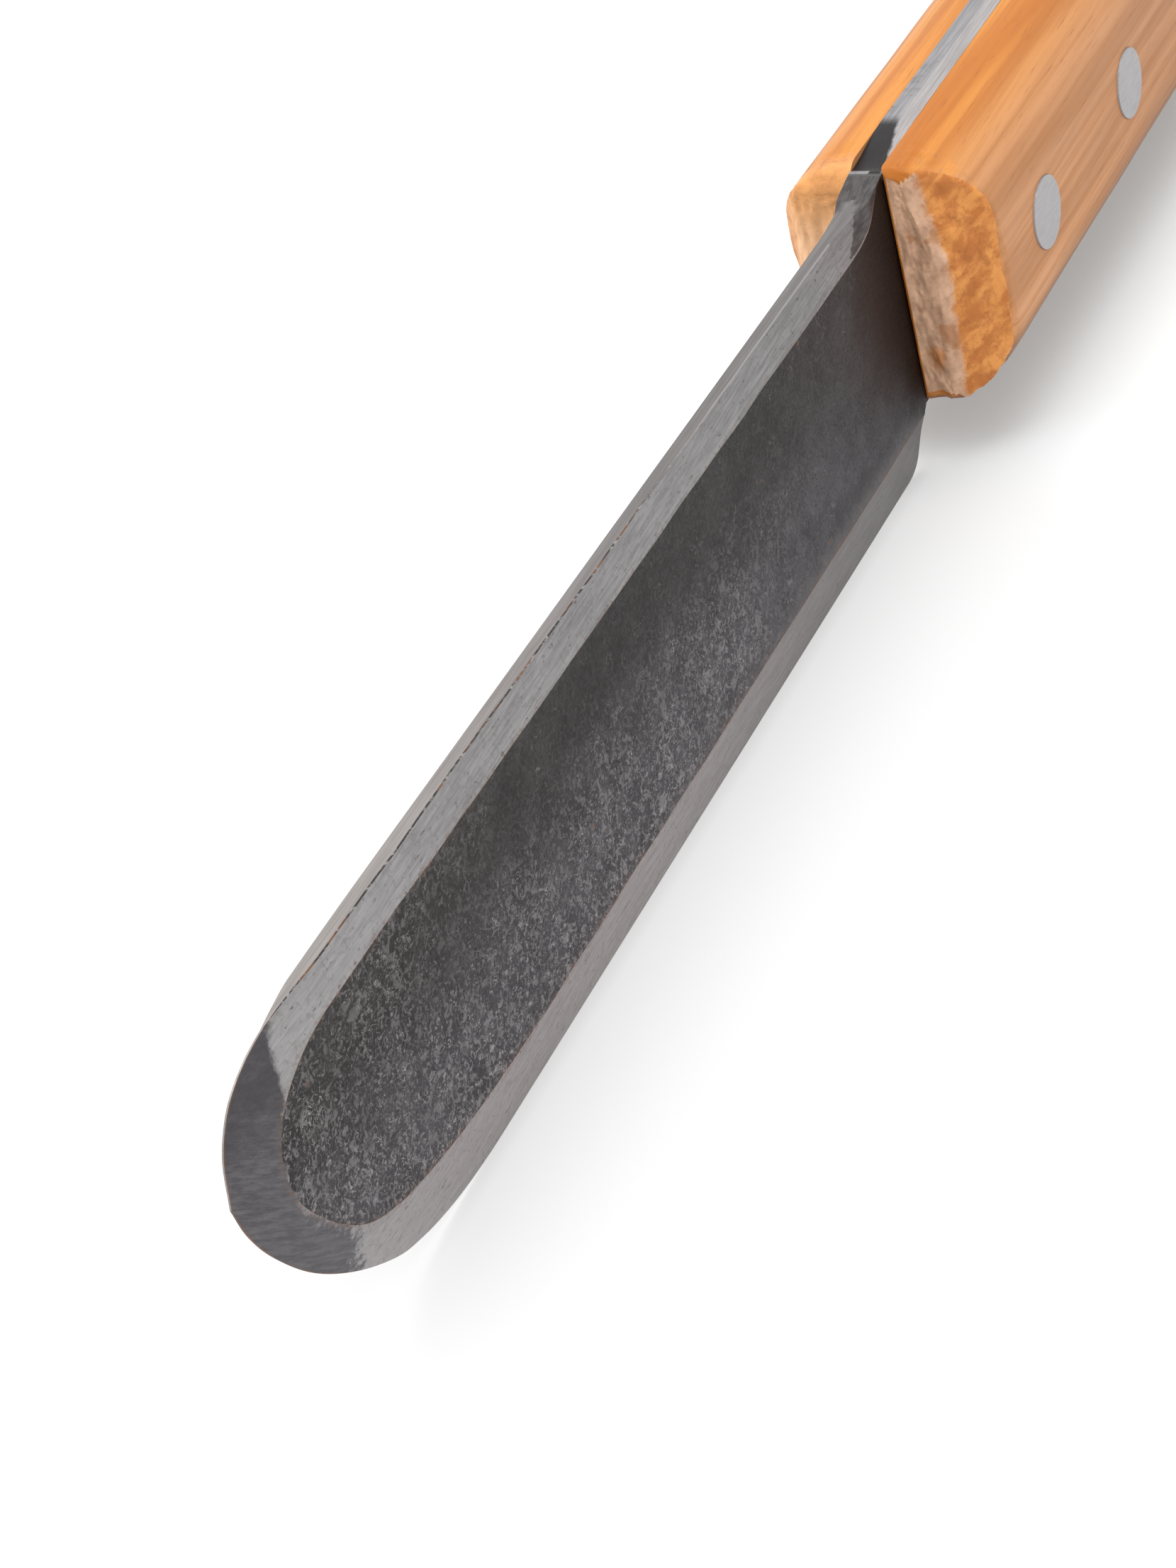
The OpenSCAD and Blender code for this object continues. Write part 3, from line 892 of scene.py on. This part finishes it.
def build_scale(name, side, materials, seed):
    """A scale as a closed tube of sections from the front to the butt, with pin holes."""
    section = scale_section()
    xs = list(ARRIS * (1 - np.cos(np.linspace(0, math.pi / 2, 7)))) + list(np.arange(0.5, 6, 0.17))
    xs += list(np.arange(6, 10, 0.5)) + list(np.arange(10, 102.5, 1.0))
    xs += [HANDLE_L - BUTT_R + BUTT_R * math.sin(a) for a in np.radians(np.linspace(0, 90, 20))]
    count = len(section)
    ring = 2 * count - 2
    points, faces, slots, chamfered = [], [], [], set()

    def shaped(x, out, z):
        worn = hand_wear(x, out, z, seed) * ease(out, HALF_T, HALF_T + 1.2)
        slope = ease(x, 0, FRONT_CHAMFER)
        up = np.sign(z - MIDDLE_Z) * ease(abs(z - MIDDLE_Z), 5, 9)
        forward = (1 - slope) * (1 - ease(x, 3, 5))
        kept = out - worn * max(0.35, slope) * (1 - 0.5 * abs(up))
        return (x + worn * forward, side * kept, z - 0.6 * worn * up)

    for x in xs:
        inner = HALF_T + 0.8 * front_round(ARRIS, x)
        loop = []
        for out, z in section:
            reach, top, bottom = scale_limits(x, out, z, side)
            if x < FRONT_CHAMFER + 2 and out > reach - 0.3 and reach < HALF_W - 0.4:
                chamfered.add(len(points) + len(loop))
            height = soft_min(z, top, 0.3) if z > MIDDLE_Z else max(z, bottom)
            loop.append((max(inner, soft_min(out, reach, 0.5)), height))
        loop[0], loop[-1] = (inner, loop[0][1]), (inner, loop[-1][1])
        points += [shaped(x, out, z) for out, z in loop]
        low, high = loop[-1][1], loop[0][1]
        heights = [low + (high - low) * i / (count - 1) for i in range(1, count - 1)]
        points += [shaped(x, inner, z) for z in heights]
    for j in range(len(xs) - 1):
        for k in range(ring):
            a, b = j * ring + k, j * ring + (k + 1) % ring
            faces.append((a, a + ring, b + ring, b))
            if side < 0:
                cut = a in chamfered and b in chamfered
            else:
                cut = k < count - 1 and xs[j] < FRONT_CHAMFER
            slots.append(END_GRAIN if cut else GRAIN)
    for j in (0, len(xs) - 1):
        add_cap(points, faces, slots, j * ring, count, shaped)
    piece = new_object(name, points, faces, materials, slots)
    drill(piece)
    piece.data.set_sharp_from_angle(angle=math.radians(38))
    return piece


def add_cap(points, faces, slots, start, count, shaped):
    """Fills one end of a scale with a grid between its tang side and its outer line."""
    grid = {}
    for k in range(count):
        outer = start + k
        inner = outer if k in (0, count - 1) else start + 2 * count - 2 - k
        grid[k, 0], grid[k, CAP_ROWS] = inner, outer
        (x, y_in, z_in), (_, y_out, z_out) = points[inner], points[outer]
        for m in range(1, CAP_ROWS):
            t = m / CAP_ROWS
            grid[k, m] = len(points)
            points.append(shaped(x, abs(y_in + (y_out - y_in) * t), z_in + (z_out - z_in) * t))
    for k in range(count - 1):
        for m in range(CAP_ROWS):
            faces.append((grid[k, m], grid[k + 1, m], grid[k + 1, m + 1], grid[k, m + 1]))
            slots.append(END_GRAIN if start == 0 else GRAIN)


def place(piece, node, slot_name):
    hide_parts(node)
    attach(piece, "root")


place(build_blade(), "blade", "forged_steel")
SCALES = (("left_wood_scale", "left_scale", -1, 1), ("right_wood_scale", "right_scale", 1, 2))
for scale_name, scale_node, side, seed in SCALES:
    grain = wood(f"{scale_name}_grain", False, seed)
    end_grain = wood(f"{scale_name}_end", True, seed, float(side > 0))
    place(build_scale(scale_name, side, (grain, end_grain), seed), scale_node, "handle_wood")
for pin_name in PIN_NODES:
    place(build_pin(f"{pin_name}_rod", pin_name), pin_name, "pin_metal")


# ---------------------------------------------------------------------------------------------
# Stage, light and camera
# ---------------------------------------------------------------------------------------------
def build_floor():
    """A pale floor just under the cutting edge.

    In front of the handle it reflects less and glows faintly, so that the blade's shadow on it is
    as light as in the picture.
    """
    mesh = bpy.data.meshes.new("floor")
    size, level = 3.0, -0.03 * MM
    corners = [(x * size, y * size, level) for x, y in ((-1, -1), (1, -1), (1, 1), (-1, 1))]
    mesh.from_pydata(corners, [], [(0, 1, 2, 3)])
    floor = bpy.data.objects.new("floor", mesh)
    bpy.context.scene.collection.objects.link(floor)
    s = Shader("floor_paper")
    tone = s.noise(s.stretch(0.02), detail=2)
    # Painted light: the paper is tinted faintly cool to cancel the warm light that the wood bounces
    # into the handle's shadow.
    white = s.mix(tone, (0.825, 0.86, 0.87), (0.835, 0.87, 0.88))
    blade_zone = along(s, 0, 6, -8)
    s.set(base_color=s.mix(blade_zone, white, (0.435, 0.435, 0.435)), roughness=0.9)
    s.set(emission_color=s.mix(blade_zone, (0, 0, 0), (0.43, 0.43, 0.43)), emission_strength=1.0)
    mesh.materials.append(s.material)


KEY_AT, KEY_AIM = Vector((-0.1, 0.1, 1.0)), Vector((0, 0, 0.01))
KEY_SIZE, KEY_POWER = 0.9, 6
WORLD_STRENGTH = 1.15


def build_light():
    """White all round, and one soft square lamp overhead."""
    world = bpy.data.worlds.new("studio")
    world.use_nodes = True
    background = world.node_tree.nodes["Background"]
    background.inputs["Color"].default_value = (1, 1, 1, 1)
    background.inputs["Strength"].default_value = WORLD_STRENGTH
    bpy.context.scene.world = world
    lamp = bpy.data.lights.new("key", "AREA")
    lamp.shape, lamp.size, lamp.size_y = "RECTANGLE", KEY_SIZE, KEY_SIZE
    lamp.energy = KEY_POWER
    light = bpy.data.objects.new("key", lamp)
    light.location = KEY_AT
    light.rotation_euler = (KEY_AIM - KEY_AT).to_track_quat("-Z", "Y").to_euler()
    bpy.context.scene.collection.objects.link(light)


CAMERA_AT = (-210.5, -103.7, 141.5)          # in the knife's millimetres
LENS, SENSOR = 76.28, 36.0
AZIMUTH, ELEVATION, ROLL = -55.54, 35.08, -16.27


def build_camera():
    """At the picture's angle: ahead of the nose, over the left side, leaning to one side."""
    data = bpy.data.cameras.new("camera")
    data.lens, data.sensor_width = LENS, SENSOR
    data.clip_start, data.clip_end = 0.01, 20
    camera = bpy.data.objects.new("camera", data)
    a, e = math.radians(AZIMUTH), math.radians(ELEVATION)
    back = Vector((math.sin(a) * math.cos(e), -math.cos(a) * math.cos(e), math.sin(e)))
    turn = (-back).to_track_quat("-Z", "Y").to_matrix().to_4x4()
    at = Vector(to_metres([CAMERA_AT])[0])
    roll = Matrix.Rotation(math.radians(ROLL), 4, "Z")
    camera.matrix_world = Matrix.Translation(at) @ turn @ roll
    bpy.context.scene.collection.objects.link(camera)
    bpy.context.scene.camera = camera


build_floor()
build_light()
build_camera()
bpy.context.scene.view_settings.view_transform = "Standard"
